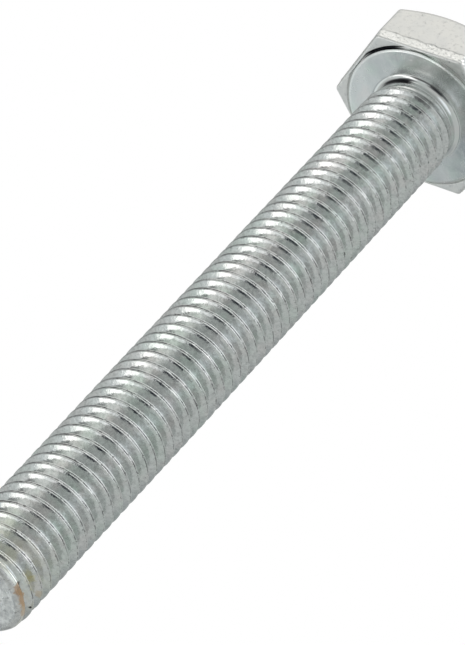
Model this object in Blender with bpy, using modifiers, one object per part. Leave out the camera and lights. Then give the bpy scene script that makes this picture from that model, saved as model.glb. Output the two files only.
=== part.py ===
"""Fully threaded hexagon head bolt, M10 x 1.5 x 80, zinc plated.

The bolt stands on the top of its head: the origin is the centre of that face, and +Z runs along
the shank to the point. The real bolt is one forging. It is modelled here as its five regions,
which meet face to face on shared planes.
"""

import math

import bmesh
import bpy
from mathutils import Vector

MM = 0.001
MERGE = 0.002 * MM

# Thread: M10 x 1.5, right hand, rolled a little under its nominal diameter.
PITCH = 1.5 * MM
MAJOR_RADIUS = 4.925 * MM
FLANK_ANGLE = math.radians(30)
THREAD_DEPTH = 0.6134 * PITCH
CREST_FLAT = PITCH / 8
ROOT_RADIUS = MAJOR_RADIUS - THREAD_DEPTH
CREST_PHASE = 0.72 * MM  # where the crest line through +X lies above the bearing face, in its first pitch

# Head: a 17 mm spanner size, a little under its nominal width, its height counted with the washer face.
ACROSS_FLATS = 16.8 * MM
HEAD_HEIGHT = 6.5 * MM
HEAD_TOP_RADIUS = 7.8 * MM
HEAD_TOP_CHAMFER = math.radians(35)
CORNER_ROUNDING = 0.4 * MM
TRIMMED_BAND_Z = 5.0 * MM  # from here to the head's underside the flats lean inwards, where they were sheared
TRIMMED_BAND_TAPER = 0.35 * MM
WASHER_FACE_RADIUS = 7.82 * MM
WASHER_FACE_HEIGHT = 0.35 * MM
WASHER_FACE_EDGE = 0.1 * MM

# Shank: lengths are counted from the bearing face, where the washer face ends.
SHANK_LENGTH = 80.0 * MM
NECK_RADIUS = 4.5 * MM
NECK_LENGTH = 0.8 * MM
FILLET_RADIUS = 0.55 * MM
FILLET_FOOT_RADIUS = NECK_RADIUS + FILLET_RADIUS
RUN_OUT_LENGTH = 2.2 * MM
POINT_LENGTH = 0.95 * MM
POINT_CHAMFER = math.radians(45)
POINT_END_RADIUS = 4.0 * MM

# Heights above the origin.
WASHER_FACE_BASE_Z = HEAD_HEIGHT - WASHER_FACE_HEIGHT
BEARING_Z = HEAD_HEIGHT
NECK_TOP_Z = BEARING_Z + NECK_LENGTH
TIP_Z = BEARING_Z + SHANK_LENGTH
POINT_BASE_Z = TIP_Z - POINT_LENGTH

# Facets.
THREAD_STEPS = 20
ROUND_STEPS = 48
FILLET_STEPS = 5
POINT_STEPS = 30

# Room that a trimming solid leaves around what it trims.
SPARE = 1.0 * MM


def clear_scene():
    for obj in list(bpy.data.objects):
        bpy.data.objects.remove(obj, do_unlink=True)


def new_collection(name):
    collection = bpy.data.collections.new(name)
    bpy.context.scene.collection.children.link(collection)
    return collection


def zinc(name, colour, roughness):
    """Zinc-plated steel of one shade."""
    material = bpy.data.materials.new(name)
    material.use_nodes = True
    shader = material.node_tree.nodes["Principled BSDF"]
    shader.inputs["Base Color"].default_value = (*colour, 1.0)
    shader.inputs["Metallic"].default_value = 1.0
    shader.inputs["Roughness"].default_value = roughness
    material.diffuse_color = (*colour, 1.0)
    return material


def add_object(name, mesh, collection, material=None):
    obj = bpy.data.objects.new(name, mesh)
    collection.objects.link(obj)
    if material:
        mesh.materials.append(material)
    return obj


def smooth(obj, sharp_degrees=25):
    obj.data.shade_smooth()
    obj.data.set_sharp_from_angle(angle=math.radians(sharp_degrees))


def profile_mesh(name, points, closed=False):
    """A line of (radius, height) points in the XZ plane, at +X."""
    mesh = bpy.data.meshes.new(name)
    corners = [(radius, 0.0, height) for radius, height in points]
    edges = [(i, i + 1) for i in range(len(corners) - 1)]
    if closed:
        edges.append((len(corners) - 1, 0))
    mesh.from_pydata(corners, edges, [])
    return mesh


def turned(name, points, collection, material=None, steps=ROUND_STEPS, ring=False):
    """A solid of revolution about Z. The points run down its outer side, from axis to axis, or
    round the section of a ring."""
    obj = add_object(name, profile_mesh(name, points, closed=ring), collection, material)
    screw = obj.modifiers.new("turn", "SCREW")
    screw.axis = "Z"
    screw.angle = math.tau
    screw.steps = screw.render_steps = steps
    screw.use_merge_vertices = True
    screw.merge_threshold = MERGE
    screw.use_smooth_shade = True
    return obj


def applied(obj):
    """Replaces the object's mesh by what its modifiers make of it."""
    source = obj.data
    depsgraph = bpy.context.evaluated_depsgraph_get()
    depsgraph.update()
    obj.data = bpy.data.meshes.new_from_object(obj.evaluated_get(depsgraph))
    obj.modifiers.clear()
    bpy.data.meshes.remove(source)


def trimmed(obj, cutter, operation="INTERSECT"):
    cutter.hide_render = True
    cutter.display_type = "WIRE"
    boolean = obj.modifiers.new(operation.lower(), "BOOLEAN")
    boolean.operation = operation
    boolean.object = cutter
    boolean.solver = "EXACT"


def hexagon_prism(name, collection, material):
    """The head's hexagon with corners on the X axis, rounded upright edges and a trimmed band that leans inwards."""
    bpy.ops.mesh.primitive_cylinder_add(
        vertices=6,
        radius=ACROSS_FLATS / 2 / math.cos(math.pi / 6),
        depth=WASHER_FACE_BASE_Z,
        location=(0, 0, WASHER_FACE_BASE_Z / 2),
    )
    obj = bpy.context.active_object
    obj.name = obj.data.name = name
    for owner in list(obj.users_collection):
        owner.objects.unlink(obj)
    collection.objects.link(obj)
    obj.data.materials.append(material)
    turn_corner_to_x = math.atan2(obj.data.vertices[0].co.y, obj.data.vertices[0].co.x)
    mesh = bmesh.new()
    mesh.from_mesh(obj.data)
    for vertex in mesh.verts:
        angle = math.atan2(vertex.co.y, vertex.co.x) - turn_corner_to_x
        radius = vertex.co.xy.length
        vertex.co.x = radius * math.cos(angle)
        vertex.co.y = radius * math.sin(angle)
    upright = [edge for edge in mesh.edges if abs(edge.verts[0].co.z - edge.verts[1].co.z) > SPARE]
    bmesh.ops.bevel(mesh, geom=upright, offset=CORNER_ROUNDING, segments=3, profile=0.5, affect="EDGES")
    half_height = WASHER_FACE_BASE_Z / 2
    whole = mesh.verts[:] + mesh.edges[:] + mesh.faces[:]
    bmesh.ops.bisect_plane(mesh, geom=whole, plane_co=(0, 0, TRIMMED_BAND_Z - half_height), plane_no=(0, 0, 1))
    narrowed = 1 - TRIMMED_BAND_TAPER / (ACROSS_FLATS / 2)
    for vertex in mesh.verts:
        if vertex.co.z > half_height - MERGE:
            vertex.co.x *= narrowed
            vertex.co.y *= narrowed
    mesh.to_mesh(obj.data)
    mesh.free()
    return obj


def head_envelope(collection):
    """A cone frustum that takes the corners off the top of the head."""
    outer = ACROSS_FLATS
    drop = (outer - HEAD_TOP_RADIUS) * math.tan(HEAD_TOP_CHAMFER)
    points = [
        (0.0, WASHER_FACE_BASE_Z + SPARE),
        (outer, WASHER_FACE_BASE_Z + SPARE),
        (outer, drop),
        (HEAD_TOP_RADIUS, 0.0),
        (0.0, 0.0),
    ]
    return turned("cut_head_chamfer", points, collection)


def make_hex_head(parts, cutters):
    obj = hexagon_prism("hex_head", parts, zinc("zinc_head", (0.72, 0.73, 0.72), 0.42))
    trimmed(obj, head_envelope(cutters))
    smooth(obj)


def make_washer_face(parts):
    """The bearing ring around the foot of the neck."""
    points = [
        (FILLET_FOOT_RADIUS, BEARING_Z),
        (WASHER_FACE_RADIUS - WASHER_FACE_EDGE, BEARING_Z),
        (WASHER_FACE_RADIUS, BEARING_Z - WASHER_FACE_EDGE),
        (WASHER_FACE_RADIUS, WASHER_FACE_BASE_Z),
        (FILLET_FOOT_RADIUS, WASHER_FACE_BASE_Z),
    ]
    turned("washer_face", points, parts, zinc("zinc_washer_face", (0.62, 0.65, 0.65), 0.3), ring=True)


def make_shank_neck(parts):
    """The plain neck, flared by the fillet where it meets the bearing face, and its foot in the ring."""
    fillet = []
    for i in range(FILLET_STEPS + 1):
        angle = i / FILLET_STEPS * math.pi / 2
        radius = NECK_RADIUS + FILLET_RADIUS * (1 - math.cos(angle))
        fillet.append((radius, BEARING_Z + FILLET_RADIUS * (1 - math.sin(angle))))
    foot = [(FILLET_FOOT_RADIUS, WASHER_FACE_BASE_Z), (0.0, WASHER_FACE_BASE_Z)]
    points = [(0.0, NECK_TOP_Z), (NECK_RADIUS, NECK_TOP_Z), *fillet, *foot]
    turned("shank_neck", points, parts, zinc("zinc_neck", (0.6, 0.63, 0.63), 0.28))


def thread_profile(base_z):
    """One pitch of the thread's outline, top to bottom, from root to root."""
    flank = THREAD_DEPTH * math.tan(FLANK_ANGLE)
    crest_top = base_z + CREST_PHASE + CREST_FLAT / 2
    crest_bottom = base_z + CREST_PHASE - CREST_FLAT / 2
    root_bottom = crest_bottom - flank
    return [
        (ROOT_RADIUS, root_bottom + PITCH),
        (ROOT_RADIUS, crest_top + flank),
        (MAJOR_RADIUS, crest_top),
        (MAJOR_RADIUS, crest_bottom),
        (ROOT_RADIUS, root_bottom),
    ]


def run_out(height):
    """How much of the thread has formed at a height: 0 at the neck, 1 where the run-out ends."""
    share = min(max((height - NECK_TOP_Z) / RUN_OUT_LENGTH, 0.0), 1.0)
    return share * share * (3 - 2 * share)


def close_spiral_ends(mesh):
    """Fills each open end of a helical tube with a fan to a point on the axis."""
    bm = bmesh.new()
    bm.from_mesh(mesh)
    middle = (BEARING_Z + TIP_Z) / 2
    for is_end in (lambda z: z < middle, lambda z: z > middle):
        rim = [edge for edge in bm.edges if edge.is_boundary and is_end(edge.verts[0].co.z)]
        corners = {vertex for edge in rim for vertex in edge.verts}
        height = sum(vertex.co.z for vertex in corners) / len(corners)
        hub = bm.verts.new(Vector((0.0, 0.0, height)))
        for edge in rim:
            bm.faces.new((edge.verts[0], edge.verts[1], hub))
    bmesh.ops.recalc_face_normals(bm, faces=bm.faces)
    bm.to_mesh(mesh)
    bm.free()


def thread_blank(name, collection):
    """The whole right-hand thread, longer than the shank at both ends, fading into the neck."""
    turns = math.ceil(SHANK_LENGTH / PITCH) + 2
    obj = add_object(name, profile_mesh(name, thread_profile(BEARING_Z - PITCH)), collection)
    screw = obj.modifiers.new("thread", "SCREW")
    screw.axis = "Z"
    screw.angle = math.tau
    screw.screw_offset = PITCH
    screw.iterations = turns
    screw.steps = screw.render_steps = THREAD_STEPS
    weld = obj.modifiers.new("join_turns", "WELD")
    weld.merge_threshold = MERGE
    applied(obj)
    for vertex in obj.data.vertices:
        radius = vertex.co.xy.length
        formed = NECK_RADIUS + (radius - NECK_RADIUS) * run_out(vertex.co.z)
        vertex.co.x *= formed / radius
        vertex.co.y *= formed / radius
    close_spiral_ends(obj.data)
    return obj


def make_threaded_shank(blank, parts, cutters):
    obj = add_object("threaded_shank", blank.data.copy(), parts, zinc("zinc_thread", (0.66, 0.68, 0.67), 0.25))
    outer = MAJOR_RADIUS + SPARE
    points = [(0.0, POINT_BASE_Z), (outer, POINT_BASE_Z), (outer, NECK_TOP_Z), (0.0, NECK_TOP_Z)]
    trimmed(obj, turned("cut_shank_ends", points, cutters))
    smooth(obj, 40)


def make_chamfered_point(blank, parts, cutters):
    obj = add_object("chamfered_point", blank.data.copy(), parts, zinc("zinc_point", (0.66, 0.65, 0.58), 0.35))
    outer = POINT_END_RADIUS + POINT_LENGTH / math.tan(POINT_CHAMFER)
    points = [(0.0, TIP_Z), (POINT_END_RADIUS, TIP_Z), (outer, POINT_BASE_Z), (0.0, POINT_BASE_Z)]
    trimmed(obj, turned("cut_point_chamfer", points, cutters, steps=POINT_STEPS))
    smooth(obj, 25)


def main():
    clear_scene()
    parts = new_collection("hex_bolt")
    cutters = new_collection("cutters")
    make_hex_head(parts, cutters)
    make_washer_face(parts)
    make_shank_neck(parts)
    blank = thread_blank("thread_blank", cutters)
    blank.hide_render = True
    blank.display_type = "WIRE"
    make_threaded_shank(blank, parts, cutters)
    make_chamfered_point(blank, parts, cutters)


main()
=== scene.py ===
"""Looks of a zinc-plated hex bolt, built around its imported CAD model.

The mesh code works in millimetres, and new_piece turns them into metres. The bolt stands on its head, with
its shank along +Z."""

import math

import bpy
import numpy as np
from mathutils import Matrix, Vector, noise


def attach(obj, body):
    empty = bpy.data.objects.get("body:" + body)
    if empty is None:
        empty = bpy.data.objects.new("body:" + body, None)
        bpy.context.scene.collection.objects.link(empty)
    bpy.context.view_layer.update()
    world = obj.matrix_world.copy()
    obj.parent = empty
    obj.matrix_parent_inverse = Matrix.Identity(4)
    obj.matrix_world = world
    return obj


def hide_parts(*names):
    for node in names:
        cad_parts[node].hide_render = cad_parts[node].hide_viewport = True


MM = 0.001

# ------------------------------------------------------------------ the bolt's dimensions, in mm
# levels along the axis
BAND_TOP_Z = 5.0  # where the rough trimmed band of the flats begins
GROOVE_Z = 5.95  # floor of the narrow groove round the bearing ring
UNDERSIDE_Z = 6.15
BEARING_Z = 6.5
NECK_TOP_Z = 7.3
CROWN_START_Z = 84.0  # where the shank begins to round off
THREAD_END_Z = 85.1  # where the thread begins to fade out
CROWN_Z = 86.1  # where the thread is gone and the point piece begins
TIP_Z = 86.5

# the hexagon
FLAT_RADIUS = 8.33
CORNER_ROUND = 0.55
TOP_RADIUS = 7.82
TOP_CHAMFER = math.radians(36)
BAND_TAPER = 0.17
HEAD_COLUMNS = 480

# the bearing ring
RING_INNER = 5.05
RING_RADIUS = 7.80
RIM_WIDTH, RIM_DROP = 0.22, 0.065  # the shallow bevel along its edge
FACE_FALL = math.tan(math.radians(2.0))
RING_COLUMNS = 288

# the shank
NECK_RADIUS = 4.5
FILLET = 0.55
PITCH = 1.5
CREST_RADIUS = 4.90
THREAD_DEPTH = 0.92
CREST_PHASE = 0.715  # height of a crest above the bearing face at azimuth 0
RUN_OUT = 2.0
TIP_THINNING = 0.08  # the crests stand this much lower near the tip
POINT_END_RADIUS = 4.3
POINT_EDGE = 0.35  # size of the rounded edge of the end face
TURN_STEPS = 90
SHANK_COLUMNS = 160
CAP_RADIUS = 0.5  # radius of the first row round the middle of a closed end


# ------------------------------------------------------------------ mesh tools
def new_piece(name, points, faces, attributes=None):
    mesh = bpy.data.meshes.new(name)
    mesh.from_pydata((np.asarray(points) * MM).tolist(), [], faces)
    for key, values in (attributes or {}).items():
        layer = mesh.attributes.new(key, "FLOAT", "POINT")
        layer.data.foreach_set("value", np.asarray(values, np.float32))
    mesh.validate()
    mesh.update()
    mesh.shade_smooth()
    piece = bpy.data.objects.new(name, mesh)
    bpy.context.scene.collection.objects.link(piece)
    return piece


def ring_faces(rows, columns, start_pole=True, end_pole=True):
    """Faces of rows x columns points, closed round the axis.

    After the points of the rows come the pole of the first row and the pole of the last one."""
    faces = []
    for r in range(rows - 1):
        a, b = r * columns, (r + 1) * columns
        for c in range(columns):
            n = (c + 1) % columns
            faces.append((a + c, a + n, b + n, b + c))
    pole = rows * columns
    if start_pole:
        faces += [(c, pole, (c + 1) % columns) for c in range(columns)]
        pole += 1
    if end_pole:
        last = (rows - 1) * columns
        faces += [(last + (c + 1) % columns, pole, last + c) for c in range(columns)]
    return faces


def rounded_profile(corners, cuts, spans, steps=5):
    """Profiles through the corners, each given per column as (radius, z).

    cuts says how far the rounding of each corner reaches, and spans how many equal steps, or which fractions,
    the straight stretch after it has."""
    rows = []
    count = len(corners)
    for i in range(count - 1):
        here, there = corners[i], corners[i + 1]
        run = there - here
        length = np.linalg.norm(run, axis=-1, keepdims=True)
        unit = run / np.maximum(length, 1e-9)
        start = here + unit * cuts[i]
        end = there - unit * cuts[i + 1]
        if 0 < i:
            before = corners[i] - corners[i - 1]
            before = before / np.maximum(np.linalg.norm(before, axis=-1, keepdims=True), 1e-9)
            into = here - before * cuts[i]
            for k in range(1, steps):
                t = k / steps
                rows.append((1 - t) ** 2 * into + 2 * t * (1 - t) * here + t * t * start)
        for t in np.linspace(0, 1, spans[i] + 1) if isinstance(spans[i], int) else spans[i]:
            rows.append(start * (1 - t) + end * t)
    return np.array(rows)


def field(points, scale, seed=0.0):
    """A smooth random number in about -1..1 at each point."""
    offset = Vector((seed * 7.31, seed * 3.17, seed * 5.73))
    values = [noise.noise(Vector(p) * scale + offset) for p in points.reshape(-1, 3)]
    return np.array(values).reshape(points.shape[:-1])


def turned(radii_z, columns):
    """The points of a (radius, z) profile turned round the axis, row by row."""
    angles = np.linspace(0, 2 * math.pi, columns, endpoint=False)
    r, z = radii_z[:, 0][:, None], radii_z[:, 1][:, None]
    return np.stack([r * np.cos(angles), r * np.sin(angles), z + 0 * angles], axis=-1)


def smoothstep(x):
    x = np.clip(x, 0, 1)
    return x * x * (3 - 2 * x)


# ------------------------------------------------------------------ node tools
class Nodes:
    """Short calls for a material's or a world's node tree."""

    def __init__(self, tree):
        self.tree = tree
        tree.nodes.clear()

    def add(self, kind, inputs=None, **settings):
        node = self.tree.nodes.new(kind)
        for key, value in settings.items():
            setattr(node, key, value)
        for key, value in (inputs or {}).items():
            self.put(node.inputs[key], value)
        return node

    def put(self, socket, value):
        if isinstance(value, bpy.types.NodeSocket):
            self.tree.links.new(value, socket)
        elif isinstance(value, (tuple, list)) and len(value) == 3 and socket.type == "RGBA":
            socket.default_value = (*value, 1)
        else:
            socket.default_value = value

    def math(self, operation, a, b=0.0, clamp=False):
        return self.add("ShaderNodeMath", {0: a, 1: b}, operation=operation, use_clamp=clamp).outputs[0]

    def affine(self, value, times, plus):
        given = {0: value, 1: times, 2: plus}
        return self.add("ShaderNodeMath", given, operation="MULTIPLY_ADD").outputs[0]

    def remap(self, value, low, high, to_low=0.0, to_high=1.0):
        given = {"Value": value, "From Min": low, "From Max": high}
        given.update({"To Min": to_low, "To Max": to_high})
        return self.add("ShaderNodeMapRange", given, interpolation_type="SMOOTHSTEP").outputs[0]

    def mix(self, factor, a, b):
        return self.add("ShaderNodeMix", {0: factor, 6: a, 7: b}, data_type="RGBA").outputs[2]

    def noise(self, vector, scale, detail=2.0, roughness=0.5):
        given = {"Vector": vector, "Scale": scale, "Detail": detail, "Roughness": roughness}
        return self.add("ShaderNodeTexNoise", given).outputs["Fac"]

    def cells(self, vector, scale):
        given = {"Vector": vector, "Scale": scale}
        return self.add("ShaderNodeTexVoronoi", given, feature="F1").outputs["Distance"]

    def bump(self, height, strength, distance, normal=None):
        given = {"Height": height, "Strength": strength, "Distance": distance * MM}
        if normal is not None:
            given["Normal"] = normal
        return self.add("ShaderNodeBump", given).outputs[0]

    def attribute(self, name):
        return self.add("ShaderNodeAttribute", attribute_name=name).outputs["Fac"]

    def millimetres(self):
        place = self.add("ShaderNodeTexCoord").outputs["Object"]
        return self.add("ShaderNodeVectorMath", {0: place, "Scale": 1 / MM}, operation="SCALE").outputs[0]

    def stretched(self, vector, scale):
        return self.add("ShaderNodeVectorMath", {0: vector, 1: scale}, operation="MULTIPLY").outputs[0]


def metal(name, paint):
    """A metal material: paint(nodes, place in mm) gives its colour, roughness and normal."""
    material = bpy.data.materials.new(name)
    material.use_nodes = True
    n = Nodes(material.node_tree)
    colour, roughness, normal = paint(n, n.millimetres())
    shader = n.add(
        "ShaderNodeBsdfPrincipled",
        {"Base Color": colour, "Metallic": 1.0, "Roughness": roughness, "Normal": normal},
    )
    n.add("ShaderNodeOutputMaterial", {"Surface": shader.outputs[0]})
    return material


# ------------------------------------------------------------------ materials
GREY = (0.745, 0.765, 0.76)
GREEN = (0.70, 0.765, 0.725)
PINK = (0.765, 0.75, 0.745)
STRAW = (0.78, 0.76, 0.66)
# the near black of the painted shade in the crevice round the bearing ring
SHADE_DARK = (0.02, 0.02, 0.025)


def passivate_tint(n, mm, scale, amount):
    """The faint green and pink drift of a clear zinc passivate."""
    green = n.remap(n.noise(mm, scale, 2.0), 0.42, 0.68, 0.0, amount)
    shifted = n.stretched(mm, (1.3, -1.1, 0.9))
    pink = n.remap(n.noise(shifted, scale * 1.2, 2.0), 0.45, 0.70, 0.0, amount)
    return n.mix(pink, n.mix(green, GREY, GREEN), PINK)


def paint_thread(n, mm):
    colour = passivate_tint(n, mm, 0.35, 0.75)
    # the seam between the two lips of a rolled crest, torn open here and there, with dirt and painted shade in
    # the openings
    torn = n.remap(n.noise(n.stretched(mm, (1, 1, 0.8)), 1.6, 3.0, 0.6), 0.46, 0.56)
    seam_dirt_and_shade = n.math("MULTIPLY", n.attribute("seam"), n.affine(torn, 0.75, 0.15), clamp=True)
    colour = n.mix(seam_dirt_and_shade, colour, (0.04, 0.04, 0.045))
    pits = n.remap(n.noise(mm, 3.0, 2.0, 0.6), 0.62, 0.69)
    pits = n.math("MULTIPLY", pits, n.affine(n.attribute("crest"), 0.7, 0.15))
    colour = n.mix(pits, colour, (0.10, 0.10, 0.10))
    grain = n.remap(n.noise(mm, 2.6, 4.0, 0.7), 0.34, 0.62, 0.42, 0.0)
    colour = n.mix(grain, colour, (0.42, 0.43, 0.425))
    roughness = n.remap(n.noise(mm, 1.4, 3.0), 0.35, 0.65, 0.09, 0.17)
    normal = n.bump(n.noise(mm, 0.9, 2.0), 1.0, 0.03)
    normal = n.bump(n.noise(mm, 3.2, 3.0, 0.6), 0.5, 0.03, normal)
    return colour, roughness, normal


def paint_head(n, mm):
    drift = n.remap(n.noise(mm, 0.5, 3.0), 0.35, 0.7)
    colour = n.mix(drift, (0.765, 0.765, 0.745), (0.72, 0.725, 0.715))
    speck = n.remap(n.noise(mm, 2.2, 4.0, 0.65), 0.50, 0.74, 0.0, 0.6)
    colour = n.mix(speck, colour, (0.50, 0.505, 0.50))
    pits = n.remap(n.noise(mm, 2.2, 2.0, 0.6), 0.70, 0.76)
    colour = n.mix(n.math("MULTIPLY", pits, 0.8), colour, (0.25, 0.25, 0.25))
    # the trimmed band: bright torn metal with fine cracks, and a dark line along its ragged edge
    band = n.attribute("band")
    colour = n.mix(band, colour, (0.93, 0.93, 0.91))
    cracks = n.remap(n.noise(mm, 3.2, 3.0, 0.6), 0.42, 0.36)
    cracks = n.math("MULTIPLY", cracks, n.math("MULTIPLY", band, 0.45))
    colour = n.mix(cracks, colour, (0.35, 0.35, 0.35))
    line = n.math("MULTIPLY", n.attribute("line"), 0.6)
    colour = n.mix(line, colour, (0.22, 0.22, 0.22))
    # painted shade in the crevice round the bearing ring, mostly beside one corner
    colour = n.mix(n.attribute("gap"), colour, SHADE_DARK)
    roughness = n.remap(n.noise(mm, 1.5, 3.0), 0.3, 0.7, 0.36, 0.46)
    normal = n.bump(n.noise(mm, 4.0, 4.0, 0.6), 0.4, 0.03)
    facets = n.cells(mm, 4.0)
    normal = n.bump(n.math("MULTIPLY", facets, band), 0.8, 0.07, normal)
    return colour, roughness, normal


def paint_neck(n, mm):
    colour = passivate_tint(n, mm, 0.5, 0.5)
    # painted shade: the neck's two dark arcs
    colour = n.mix(n.attribute("gap"), colour, (0.03, 0.03, 0.035))
    roughness = n.remap(n.noise(mm, 1.5, 3.0), 0.3, 0.7, 0.04, 0.09)
    return colour, roughness, n.bump(n.noise(mm, 1.4, 2.0), 1.0, 0.015)


def paint_ring(n, mm):
    colour = passivate_tint(n, mm, 0.30, 0.9)
    # painted shade low on the wall and at its foot, mostly beside one corner
    colour = n.mix(n.attribute("gap"), colour, SHADE_DARK)
    roughness = n.remap(n.noise(mm, 1.2, 3.0), 0.3, 0.7, 0.18, 0.28)
    normal = n.bump(n.noise(mm, 0.3, 1.0), 1.0, 0.04)
    normal = n.bump(n.noise(mm, 3.0, 3.0), 0.15, 0.02, normal)
    return colour, roughness, normal


# Spots near the tip. The middle's azimuth, distance from the axis and height; half sizes round the axis and
# along it; colour and strength.
STAINS = (
    (-98.0, 4.5, 85.90, 0.65, 0.42, (0.45, 0.27, 0.14), 0.75),
    (-110.0, 4.5, 85.80, 0.95, 0.42, (0.60, 0.38, 0.21), 0.80),
    (-125.0, 4.5, 85.80, 0.80, 0.35, (0.66, 0.47, 0.30), 0.60),
    (-94.0, 4.6, 85.50, 0.34, 0.26, (0.07, 0.045, 0.03), 0.97),
    (-103.0, 4.7, 84.15, 0.70, 0.50, (0.66, 0.63, 0.42), 0.75),
    (-132.0, 4.8, 84.95, 0.19, 0.15, (0.02, 0.02, 0.02), 0.97),
    (-128.0, 4.8, 83.60, 0.45, 0.35, (0.60, 0.46, 0.32), 0.50),
)


def stained(n, mm, colour):
    """Spots of old dirt and rust near the tip."""
    ragged = n.affine(n.noise(mm, 2.4, 3.0, 0.6), 1.6, 0.2)
    for azimuth, radius, height, across, along, value, strength in STAINS:
        a = math.radians(azimuth)
        middle = (radius * math.cos(a), radius * math.sin(a), height)
        offset = n.add("ShaderNodeVectorMath", {0: mm, 1: middle}, operation="SUBTRACT").outputs[0]
        shape = n.stretched(offset, (1 / across, 1 / across, 1 / along))
        reach = n.add("ShaderNodeVectorMath", {0: shape}, operation="LENGTH").outputs["Value"]
        near = n.remap(n.math("MULTIPLY", reach, ragged), 1.35, 0.75, 0.0, strength)
        colour = n.mix(near, colour, value)
    return colour


def paint_tip(n, mm):
    """The thread's paint, warmer and stained near the tip."""
    colour, roughness, normal = paint_thread(n, mm)
    height = n.add("ShaderNodeSeparateXYZ", {0: mm}).outputs["Z"]
    warm = n.remap(height, 78.0, 84.5, 0.0, 0.45)
    colour = n.mix(n.math("MULTIPLY", warm, n.remap(n.noise(mm, 0.7, 2.0), 0.4, 0.6)), colour, STRAW)
    return stained(n, mm, colour), roughness, normal


def paint_end(n, mm):
    drift = n.remap(n.noise(mm, 1.3, 4.0, 0.65), 0.38, 0.66)
    colour = n.mix(drift, (0.78, 0.785, 0.77), (0.55, 0.555, 0.55))
    scratch = n.remap(n.noise(n.stretched(mm, (3.5, 0.8, 1.0)), 1.4, 3.0, 0.6), 0.62, 0.68, 0.0, 0.6)
    colour = n.mix(scratch, colour, (0.20, 0.20, 0.20))
    roughness = n.remap(n.noise(mm, 1.5, 3.0), 0.3, 0.7, 0.26, 0.42)
    normal = n.bump(n.noise(mm, 1.1, 3.0), 1.0, 0.10)
    normal = n.bump(n.noise(mm, 4.0, 4.0, 0.6), 0.6, 0.05, normal)
    return stained(n, mm, colour), roughness, normal


# ------------------------------------------------------------------ the head
def hex_radius(angles):
    """Distance from the axis to the hexagon's outline, its corners a little rounded."""
    half_side = math.radians(30)
    from_flat = (np.degrees(angles) % 60) - 30
    from_corner = np.radians(30 - np.abs(from_flat))
    centre = (FLAT_RADIUS - CORNER_ROUND) / math.cos(half_side)
    tangent = half_side - math.atan((FLAT_RADIUS - CORNER_ROUND) * math.tan(half_side) / FLAT_RADIUS)
    across = np.minimum(centre * np.sin(from_corner), CORNER_ROUND)
    arc = centre * np.cos(from_corner) + np.sqrt(CORNER_ROUND**2 - across**2)
    return np.where(from_corner < tangent, arc, FLAT_RADIUS / np.cos(np.radians(from_flat)))


def shade_by_azimuth(angles):
    """How much painted shade the crevice round the bearing ring gets: most of it beside one corner."""
    away = np.abs((np.degrees(angles) - 2 + 180) % 360 - 180)
    return smoothstep((24 - away) / 14)


def make_head():
    angles = np.linspace(0, 2 * math.pi, HEAD_COLUMNS, endpoint=False)
    outline = hex_radius(angles)
    trimmed = outline - BAND_TAPER
    crease_z = (outline - TOP_RADIUS) * math.tan(TOP_CHAMFER)
    side_steps = np.concatenate([np.linspace(0, 0.9, 18), np.linspace(0.91, 1.0, 12)])

    def corner(radius, z):
        one = np.ones_like(angles)
        return np.stack([radius * one, z * one], axis=-1)

    # each corner, its cut and the steps after it: the top face, the chamfer, a flat with its trimmed band, the
    # underside and the groove
    profile = [
        (corner(0.6, 0), 0, 6),
        (corner(TOP_RADIUS, 0), 0.2, 6),
        (corner(outline, crease_z), 0.12, side_steps),
        (corner(outline, BAND_TOP_Z), 0.04, 16),
        (corner(trimmed, UNDERSIDE_Z), 0.2, 3),
        (corner(np.minimum(RING_RADIUS + 0.32, trimmed - 0.26), UNDERSIDE_Z), 0.03, 2),
        (corner(np.minimum(RING_RADIUS + 0.14, trimmed - 0.34), GROOVE_Z), 0.07, 6),
        (corner(2.0, GROOVE_Z), 0, 0),
    ]
    rows = rounded_profile(*zip(*profile))
    radius, z = rows[..., 0], rows[..., 1]
    points = np.stack([radius * np.cos(angles), radius * np.sin(angles), z], axis=-1)

    # where the band, the dark lines and the painted shade of the crevice are
    side = smoothstep((radius - outline + 0.45) / 0.2)
    rough_edge = field(points, 1.1, 3) * 0.16 + field(points, 3.5, 4) * 0.06
    above = (z - BAND_TOP_Z - rough_edge) / 0.07
    band = side * smoothstep(above) * smoothstep((UNDERSIDE_Z - 0.12 - z) / 0.1)
    line = side * np.exp(-((above - 0.4) ** 2)) * (0.55 + 0.8 * field(points, 2.0, 8))
    crease = 0.8 * np.exp(-(((z - crease_z - 0.05) / 0.11) ** 2))
    crease = crease * smoothstep((radius - TOP_RADIUS) / 0.3)
    # painted shade in the groove under the underside
    gap = smoothstep((UNDERSIDE_Z - 0.02 - z) / 0.08) * smoothstep((outline - 0.3 - radius) / 0.05)
    gap = gap * shade_by_azimuth(angles)

    # chips in the band, and flats that are not quite flat
    chipped = field(points, 2.6, 5) * 0.05 + field(points, 6.0, 6) * 0.035 - 0.05
    inward = np.minimum(band * chipped + 0.012 * field(points, 0.8, 7) * side, 0.0)
    out = np.stack([np.cos(angles), np.sin(angles), 0 * angles], axis=-1)
    points = points + out[None] * inward[..., None]

    points = np.vstack([points.reshape(-1, 3), [[0, 0, 0], [0, 0, GROOVE_Z]]])
    shades = {"band": band, "line": np.maximum(line, crease), "gap": gap}
    shades = {key: np.append(values.reshape(-1), [0, 0]) for key, values in shades.items()}
    head = new_piece("bolt_head", points, ring_faces(len(rows), HEAD_COLUMNS), shades)
    head.data.materials.append(metal("zinc_head_finish", paint_head))
    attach(head, "root")
    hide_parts("hex_head")


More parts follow.
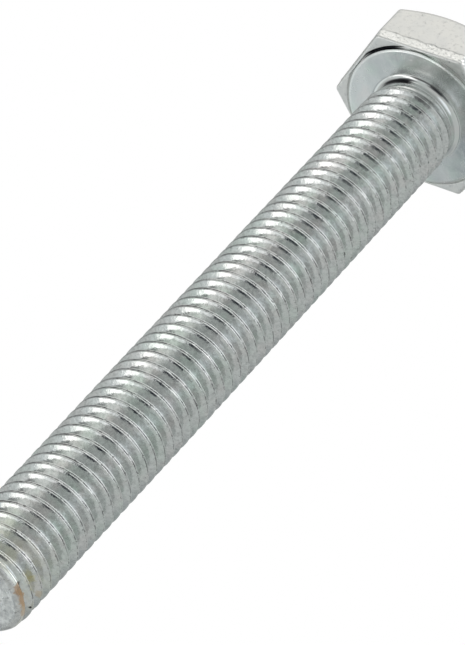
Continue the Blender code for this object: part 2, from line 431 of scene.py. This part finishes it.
# ------------------------------------------------------------------ the bearing ring
def make_ring():
    # each corner, its cut and the steps after it: the bore, the face, the rim's bevel, the wall and its foot
    profile = [
        ((RING_INNER, GROOVE_Z), 0, 3),
        ((RING_INNER, BEARING_Z), 0.02, 14),
        ((RING_RADIUS - RIM_WIDTH, BEARING_Z), 0.02, 2),
        ((RING_RADIUS, BEARING_Z - RIM_DROP), 0.05, 8),
        ((RING_RADIUS, GROOVE_Z + 0.01), 0.06, 2),
        ((RING_RADIUS + 0.12, GROOVE_Z - 0.01), 0, 0),
    ]
    corners, cuts, spans = zip(*profile)
    rows = rounded_profile([np.array([c], float) for c in corners], cuts, spans, 6)[:, 0]
    fall = FACE_FALL * np.clip(rows[:, 0] - RING_INNER, 0, RING_RADIUS)
    rows[:, 1] -= fall * smoothstep((rows[:, 1] - GROOVE_Z) / 0.3)
    points = turned(rows, RING_COLUMNS).reshape(-1, 3)
    faces = ring_faces(len(rows), RING_COLUMNS, False, False)
    last = (len(rows) - 1) * RING_COLUMNS
    for c in range(RING_COLUMNS):
        n = (c + 1) % RING_COLUMNS
        faces.append((last + c, last + n, n, c))
    x, y, z = points.T
    # painted shade low on the ring's wall and at its foot, mostly beside one corner
    gap = smoothstep((BEARING_Z - 0.2 - z) / 0.06) * smoothstep((np.hypot(x, y) - 7) / 0.3)
    ring = new_piece("bearing_ring", points, faces, {"gap": gap * shade_by_azimuth(np.arctan2(y, x))})
    ring.data.materials.append(metal("zinc_ring_finish", paint_ring))
    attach(ring, "root")
    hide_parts("washer_face")


# ------------------------------------------------------------------ the neck
def make_neck():
    end_z = NECK_TOP_Z + 0.1
    rows = [(CAP_RADIUS, GROOVE_Z), (RING_INNER, GROOVE_Z)]
    for a in np.linspace(0, math.pi / 2, 13):
        r = NECK_RADIUS + FILLET - FILLET * math.sin(a)
        rows.append((r, BEARING_Z + FILLET - FILLET * math.cos(a)))
    rows += [(NECK_RADIUS, z) for z in np.linspace(BEARING_Z + FILLET + 0.1, NECK_TOP_Z - 0.05, 3)]
    rows += [(NECK_RADIUS - 0.02, NECK_TOP_Z), (NECK_RADIUS - 0.1, end_z), (CAP_RADIUS, end_z)]
    rows = np.array(rows)
    points = turned(rows, SHANK_COLUMNS).reshape(-1, 3)
    points = np.vstack([points, [[0, 0, GROOVE_Z], [0, 0, end_z]]])
    faces = [tuple(reversed(f)) for f in ring_faces(len(rows), SHANK_COLUMNS)]
    # two dark arcs of painted shade: one on the neck, one low in the fillet
    x, y, z = points.T
    azimuth = np.degrees(np.arctan2(y, x))
    rise = (z - BEARING_Z) / FILLET
    upper = smoothstep((rise - 0.25) / 0.2) * smoothstep((NECK_TOP_Z - 0.02 - z) / 0.1)
    upper = upper * smoothstep((26 - azimuth) / 14) * smoothstep((azimuth + 32) / 12)
    lower = np.exp(-(((rise - 0.07) / 0.06) ** 2))
    lower = lower * smoothstep((-22 - azimuth) / 8) * smoothstep((azimuth + 85) / 12)
    neck = new_piece("bolt_neck", points, faces, {"gap": np.maximum(upper, lower)})
    neck.data.materials.append(metal("zinc_neck_finish", paint_neck))
    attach(neck, "root")
    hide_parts("shank_neck")


# ------------------------------------------------------------------ the thread
# Half a pitch of the rolled profile, from the seam of a crest towards the root: distance along the axis, depth
# below the crest, and how much it belongs to the seam.
LIP_PROFILE = (
    (0.0, 0.08, 1.0),
    (0.03, 0.065, 0.9),
    (0.07, 0.02, 0.35),
    (0.115, 0.0, 0.0),
    (0.155, 0.01, 0.0),
    (0.19, 0.05, 0.0),
    (0.22, 0.105, 0.0),
    (0.42, 0.452, 0.0),
    (0.61, 0.781, 0.0),
    (0.67, 0.87, 0.0),
)


def crown_radius(z):
    """The rounded end of the shank."""
    along = np.clip((z - CROWN_START_Z) / (TIP_Z - CROWN_START_Z), 0, 1)
    return CREST_RADIUS - (CREST_RADIUS - POINT_END_RADIUS) * along**3


def thread_profile():
    """One pitch, from one seam up to the next."""
    half = list(LIP_PROFILE)
    profile = half + [(PITCH / 2, THREAD_DEPTH, 0.0)]
    profile += [(PITCH - s, d, m) for s, d, m in reversed(half[1:])]
    return np.array(profile)


def thread_radius(s, depth, seam, z, base):
    """Radius of each point of the thread, with the crests' wear, the run-out and the fading end."""
    wander = field(base, 0.8, 11)
    nick = field(base, 2.2, 12)
    swell = field(base, 0.55, 13)
    lip = np.exp(-((np.minimum(s, PITCH - s) / 0.2) ** 4))[None, :]
    d = depth[None, :] * (1 + 0 * z)
    d = d + seam[None, :] * 0.06 * wander
    d = d + lip * (0.02 * np.clip(wander, -0.3, 1) + 0.16 * np.clip(nick - 0.35, 0, 1))
    d = d + 0.008 * swell
    r = CREST_RADIUS - d - TIP_THINNING * smoothstep((z - 50) / 28)
    start = NECK_RADIUS - 0.03 + 0.03 * smoothstep((z - NECK_TOP_Z + 0.1) / 0.2)
    r = start + (r - NECK_RADIUS) * smoothstep((z - NECK_TOP_Z) / RUN_OUT)
    fading = smoothstep((z - THREAD_END_Z) / (CROWN_Z - THREAD_END_Z))
    r = CREST_RADIUS - (CREST_RADIUS - r) * (1 - fading)
    r = np.minimum(r, crown_radius(z)) - 0.04 * smoothstep((z - CROWN_Z) / 0.1)
    return r, lip


def make_thread():
    profile = thread_profile()
    n = len(profile)
    start_z, end_z = NECK_TOP_Z - 0.6, TIP_Z - 0.1
    crest_z = BEARING_Z + CREST_PHASE
    first = math.floor((start_z - crest_z) / PITCH) - 1
    last = math.ceil((end_z - crest_z) / PITCH) + 1
    total = (last - first) * TURN_STEPS
    step = np.arange(total + 1)
    angle = 2 * math.pi * step / TURN_STEPS

    # a lattice along the helix: point (i, j) is profile point j at step i, and the last profile point of a turn
    # joins the first one of the next turn
    s, depth, seam = profile.T
    z = crest_z + first * PITCH + PITCH * step[:, None] / TURN_STEPS + s[None, :]
    a = angle[:, None] + 0 * s[None, :]
    base = np.stack([5 * np.cos(a), 5 * np.sin(a), z], axis=-1)
    r, lip = thread_radius(s, depth, seam, z, base)
    points = np.stack([r * np.cos(a), r * np.sin(a), z], axis=-1).reshape(-1, 3)
    faces = []
    for i in range(total):
        row, after = i * n, (i + 1) * n
        faces += [(row + j, after + j, after + j + 1, row + j + 1) for j in range(n - 1)]
        if i + 1 + TURN_STEPS <= total:
            on = (i + TURN_STEPS) * n
            faces.append((row + n - 1, after + n - 1, on + n, on))

    # only the part between the neck and the point is kept
    kept = (points[:, 2] > start_z) & (points[:, 2] < end_z)
    faces = [f for f in faces if all(kept[v] for v in f)]
    used = np.unique(np.array(faces))
    renumber = -np.ones(len(points), int)
    renumber[used] = np.arange(len(used))
    faces = [tuple(int(renumber[v]) for v in f) for f in faces]
    crests = np.broadcast_to(lip, r.shape).reshape(-1)[used]
    seams = np.broadcast_to(seam[None, :], r.shape).reshape(-1)[used]
    thread = new_piece("bolt_thread", points[used], faces, {"crest": crests, "seam": seams})
    thread.data.materials.append(metal("zinc_thread_finish", paint_tip))
    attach(thread, "root")
    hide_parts("threaded_shank")


# ------------------------------------------------------------------ the point
def make_point():
    base = CROWN_Z - 0.1
    wall = [(float(crown_radius(z)), z) for z in np.linspace(CROWN_Z, TIP_Z - POINT_EDGE * 0.8, 4)]
    rows = [(CAP_RADIUS, base), (wall[0][0] - 0.08, base)] + wall
    here, corner = np.array(wall[-1]), np.array([POINT_END_RADIUS, TIP_Z])
    there = np.array([POINT_END_RADIUS - POINT_EDGE, TIP_Z])
    for t in np.linspace(0.15, 1, 7):
        rows.append(tuple((1 - t) ** 2 * here + 2 * t * (1 - t) * corner + t * t * there))
    rows += [(r, TIP_Z) for r in np.linspace(POINT_END_RADIUS - POINT_EDGE - 0.3, CAP_RADIUS, 10)]
    points = turned(np.array(rows), SHANK_COLUMNS).reshape(-1, 3)
    points = np.vstack([points, [[0, 0, base], [0, 0, TIP_Z]]])
    faces = [tuple(reversed(f)) for f in ring_faces(len(rows), SHANK_COLUMNS)]
    point = new_piece("bolt_point", points, faces)
    point.data.materials.append(metal("zinc_point_finish", paint_end))
    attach(point, "root")
    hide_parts("chamfered_point")


# ------------------------------------------------------------------ the studio
def direction(azimuth, elevation):
    a, e = math.radians(azimuth), math.radians(elevation)
    return Vector((math.cos(a) * math.cos(e), math.sin(a) * math.cos(e), math.sin(e)))


# The studio: an even grey with soft lighter and darker areas painted over it in turn. For each area: azimuth
# and elevation of its middle, half angles where its full strength ends and where it has faded out, all in
# degrees; then its radiance and its strength.
BASE_RADIANCE = (0.54, 0.56, 0.55)
AREAS = (
    (36, 57, 8, 36, (0.88, 0.94, 0.95), 0.45),
    (-145, 66, 8, 22, (0.60, 0.63, 0.61), 0.8),
    (4, 71, 4, 12, (1.05, 1.07, 1.07), 0.9),
    (-50, 60, 6, 20, (0.05, 0.05, 0.055), 0.85),
    (-48, 79.5, 6, 11.5, (0.01, 0.015, 0.025), 1.0),
    (16, 20, 10, 28, (0.10, 0.10, 0.11), 0.75),
    (50, -2, 12, 28, (0.15, 0.15, 0.16), 0.6),
    (102, 32, 10, 26, (0.80, 0.85, 0.85), 1.0),
    (128, 54, 4, 18, (0.12, 0.15, 0.18), 0.85),
    (86, 57, 4, 11, (2.0, 2.0, 1.98), 1.0),
    (104, 73, 4, 11, (2.2, 2.2, 2.18), 1.0),
    (150, 8, 10, 30, (0.30, 0.32, 0.33), 0.6),
    (6, -41, 15, 40, (0.95, 0.94, 0.905), 1.0),
    (0, -13, 8, 24, (1.15, 1.15, 1.12), 0.9),
    (-92, 6, 12, 30, (1.1, 1.15, 1.2), 0.8),
    (-80, -72, 22, 36, (2.2, 2.2, 2.2), 1.0),
    (15, 52, 3, 8, (1.5, 1.5, 1.5), 0.9),
    (37, 57, 7, 13, (1.7, 1.69, 1.66), 1.0),
)


def make_world():
    """The bolt mirrors the studio; the camera itself sees plain white."""
    world = bpy.data.worlds.new("studio")
    bpy.context.scene.world = world
    world.use_nodes = True
    n = Nodes(world.node_tree)
    way = n.add("ShaderNodeTexCoord").outputs["Generated"]
    colour = BASE_RADIANCE
    for azimuth, elevation, inner, outer, value, strength in AREAS:
        middle = direction(azimuth, elevation)
        closeness = n.add("ShaderNodeVectorMath", {0: way, 1: middle}, operation="DOT_PRODUCT").outputs["Value"]
        edge, full = math.cos(math.radians(outer)), math.cos(math.radians(inner))
        colour = n.mix(n.remap(closeness, edge, full, 0, strength), colour, value)
    seen = n.add("ShaderNodeLightPath").outputs["Is Camera Ray"]
    colour = n.mix(seen, colour, (1, 1, 1))
    background = n.add("ShaderNodeBackground", {"Color": colour, "Strength": 1.0})
    n.add("ShaderNodeOutputWorld", {"Surface": background.outputs[0]})


def make_floor():
    """A plain white floor, a little below the bolt and kept out of its reflections."""
    half, z = 3000, -0.05
    corners = [(-half, -half, z), (half, -half, z), (half, half, z), (-half, half, z)]
    floor = new_piece("floor", corners, [(0, 1, 2, 3)])
    material = bpy.data.materials.new("floor_white")
    material.use_nodes = True
    n = Nodes(material.node_tree)
    glow = n.add("ShaderNodeEmission", {"Color": (1, 1, 1), "Strength": 1.0})
    n.add("ShaderNodeOutputMaterial", {"Surface": glow.outputs[0]})
    floor.data.materials.append(material)
    floor.visible_glossy = floor.visible_diffuse = floor.visible_shadow = False


# ------------------------------------------------------------------ the camera
def make_camera():
    """Looks at the bolt from beyond its tip, rolled so that the shank runs up to the right."""
    aim = Vector((-0.408, -0.133, 42.605)) * MM
    distance = 482.685 * MM
    back = direction(-62.63, 41.01)
    upright = back.to_track_quat("Z", "Y").to_matrix()
    turn = Matrix.Rotation(math.radians(-137.24), 3, "Z")
    data = bpy.data.cameras.new("camera")
    data.lens, data.sensor_width = 284.9, 36
    data.clip_start, data.clip_end = 0.01, 20
    camera = bpy.data.objects.new("camera", data)
    camera.matrix_world = Matrix.Translation(aim + back * distance) @ (upright @ turn).to_4x4()
    bpy.context.scene.collection.objects.link(camera)
    bpy.context.scene.camera = camera


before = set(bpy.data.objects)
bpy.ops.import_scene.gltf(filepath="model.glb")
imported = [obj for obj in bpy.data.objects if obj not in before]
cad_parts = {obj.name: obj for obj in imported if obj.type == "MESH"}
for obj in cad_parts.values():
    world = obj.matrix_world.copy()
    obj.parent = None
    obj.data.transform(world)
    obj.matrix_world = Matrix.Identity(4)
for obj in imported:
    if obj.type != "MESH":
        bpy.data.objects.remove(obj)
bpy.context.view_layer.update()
make_camera()
make_head()
make_ring()
make_neck()
make_thread()
make_point()
make_floor()
make_world()
bpy.context.scene.view_settings.view_transform = "Standard"
